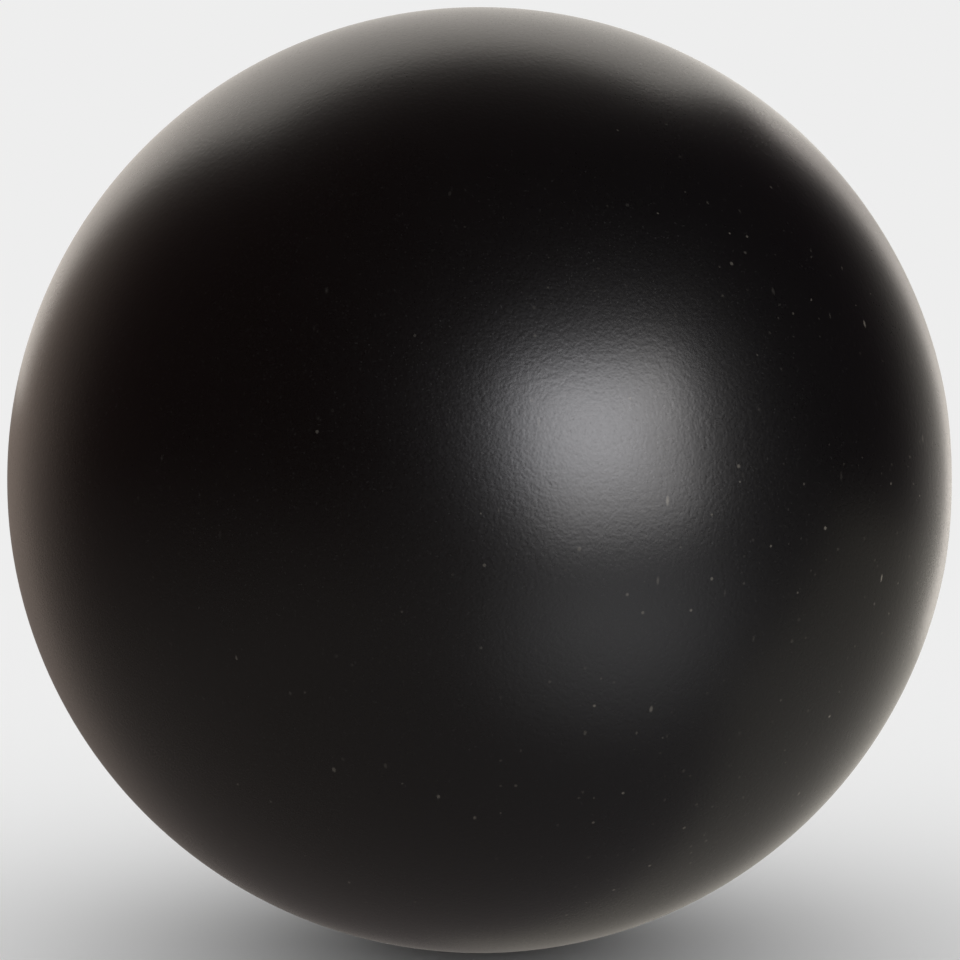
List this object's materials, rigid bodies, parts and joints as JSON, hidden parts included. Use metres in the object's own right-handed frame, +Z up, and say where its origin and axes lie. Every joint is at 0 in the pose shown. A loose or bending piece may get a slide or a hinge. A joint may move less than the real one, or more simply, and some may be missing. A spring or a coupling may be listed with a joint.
{
  "type": "lawn bowl",
  "caption": "Ungripped black composition lawn bowl: a nearly round ball with a small flat, inlaid disc and identification ring on each side of its axle.",
  "frame": {"origin": "centre of the ball, which is also its centre of mass to within 0.1 mm", "axes": "+X along the bowl's axle towards the plain side (large ring), -X towards the bias side (small ring), +Z up as the bowl stands on its running surface"},
  "size_m": [0.1197, 0.125, 0.125],
  "materials": {
    "shell_black_phenolic": "satin",
    "core_phenolic": "matte",
    "plug_phenolic": "matte",
    "disc_black_plastic": "satin",
    "ring_ivory_resin": "satin"
  },
  "bodies": {
    "root": {"outer_shell": "shell_black_phenolic", "inner_core": "core_phenolic", "plain_side_core_plug": "plug_phenolic", "bias_side_core_plug": "plug_phenolic", "plain_side_disc": "disc_black_plastic", "bias_side_disc": "disc_black_plastic", "plain_side_ring_inlay": "ring_ivory_resin", "bias_side_ring_inlay": "ring_ivory_resin"}
  },
  "joints": []
}
